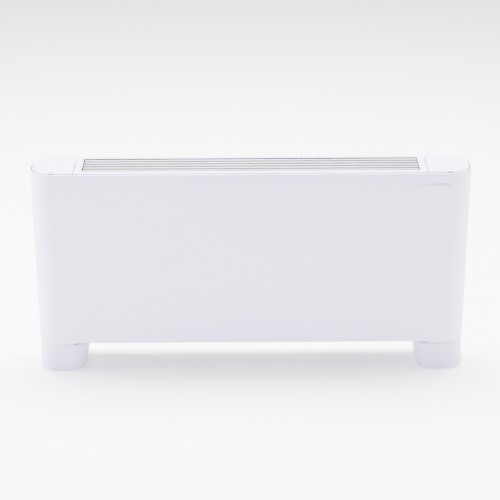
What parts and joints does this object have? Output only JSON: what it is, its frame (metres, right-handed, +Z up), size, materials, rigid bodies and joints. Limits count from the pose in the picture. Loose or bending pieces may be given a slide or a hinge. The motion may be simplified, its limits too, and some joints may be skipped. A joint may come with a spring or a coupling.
{
  "type": "fan convector heater",
  "caption": "Slim floor-standing fan convector: white wrap-around casing on two hollow feet, slatted aluminium outlet between hinged end flaps, coil, cross-flow fan, filter and controls inside.",
  "frame": {"origin": "on the floor under the centre of the casing", "axes": "+X to the right seen from the front, +Y to the back (wall side), +Z up"},
  "size_m": [1.24, 0.1469, 0.615],
  "materials": {
    "white_paint": "satin",
    "foot_white": "satin",
    "satin_aluminium": "satin",
    "dark_steel": "matt",
    "galvanised": "spangled",
    "steel": "plain",
    "fin_aluminium": "mill",
    "copper": "drawn copper",
    "brass": "machined",
    "black_rubber": "moulded",
    "grey_plastic": "moulded",
    "filter_fabric": "woven",
    "black_plastic": "moulded",
    "board_green": "lacquered"
  },
  "bodies": {
    "casing": {"air_vent_body": "brass", "air_vent_screw": "brass", "back_plate": "galvanised", "back_screws": "steel", "badge_plate": "satin_aluminium", "bearing_bush": "brass", "bearing_rubber": "black_rubber", "board_components": "black_plastic", "cable_gland": "grey_plastic", "circuit_board": "board_green", "coil_fins": "fin_aluminium", "coil_plate_left": "galvanised", "coil_plate_right": "galvanised", "coil_tubes": "copper", "condensate_tray": "galvanised", "control_box": "grey_plastic", "control_panel": "grey_plastic", "cover_screws": "steel", "drain_spigot": "grey_plastic", "foot_screws": "steel", "front_cover": "white_paint", "front_tongue": "galvanised", "grille_blade_1": "satin_aluminium", "grille_blade_2": "satin_aluminium", "grille_blade_3": "satin_aluminium", "grille_blade_4": "satin_aluminium", "grille_blade_5": "satin_aluminium", "grille_cradle": "dark_steel", "inner_front_panel": "galvanised", "left_end_plate": "galvanised", "left_filter_rail": "galvanised", "left_flap_bracket": "galvanised", "left_flap_pin": "steel", "left_foot": "foot_white", "motor_bracket": "galvanised", "motor_drive_shell": "fin_aluminium", "motor_rear_shell": "fin_aluminium", "motor_stator": "steel", "outlet_frame": "white_paint", "rear_scroll": "galvanised", "return_header": "copper", "right_end_plate": "galvanised", "right_filter_rail": "galvanised", "right_flap_bracket": "galvanised", "right_flap_pin": "steel", "right_foot": "foot_white", "rocker_pivot": "steel", "supply_header": "copper", "terminal_block": "grey_plastic"},
    "left_flap": {"left_flap": "white_paint"},
    "right_flap": {"right_flap": "white_paint"},
    "fan_rotor": {"fan_impeller": "fin_aluminium", "fan_stub_shaft": "steel", "motor_shaft": "steel"},
    "filter": {"filter_frame": "grey_plastic", "filter_mesh": "filter_fabric"},
    "speed_knob": {"speed_knob": "black_plastic"},
    "thermostat_knob": {"thermostat_knob": "black_plastic"},
    "season_rocker": {"season_rocker": "black_plastic"}
  },
  "joints": [
    {"name": "left_flap_hinge", "type": "hinge", "parent": "casing", "child": "left_flap", "pos_m": [-0.519, 0.0645, 0.613], "axis": [-1, 0, 0], "range_deg": [0, 88]},
    {"name": "right_flap_hinge", "type": "hinge", "parent": "casing", "child": "right_flap", "pos_m": [0.519, 0.0645, 0.613], "axis": [-1, 0, 0], "range_deg": [0, 88]},
    {"name": "fan_spin", "type": "hinge", "parent": "casing", "child": "fan_rotor", "pos_m": [0, -0.002, 0.47], "axis": [1, 0, 0], "continuous": true},
    {"name": "filter_slide", "type": "slide", "parent": "casing", "child": "filter", "axis": [0, -1, 0], "range_m": [0, 0.12]},
    {"name": "speed_knob_turn", "type": "hinge", "parent": "casing", "child": "speed_knob", "pos_m": [0.541, -0.02, 0.585], "axis": [0, 0, -1], "range_deg": [0, 270]},
    {"name": "thermostat_knob_turn", "type": "hinge", "parent": "casing", "child": "thermostat_knob", "pos_m": [0.541, 0.02, 0.585], "axis": [0, 0, -1], "range_deg": [0, 270]},
    {"name": "season_rocker_tip", "type": "hinge", "parent": "casing", "child": "season_rocker", "pos_m": [0.577, 0, 0.578], "axis": [1, 0, 0], "range_deg": [0, 12]}
  ]
}
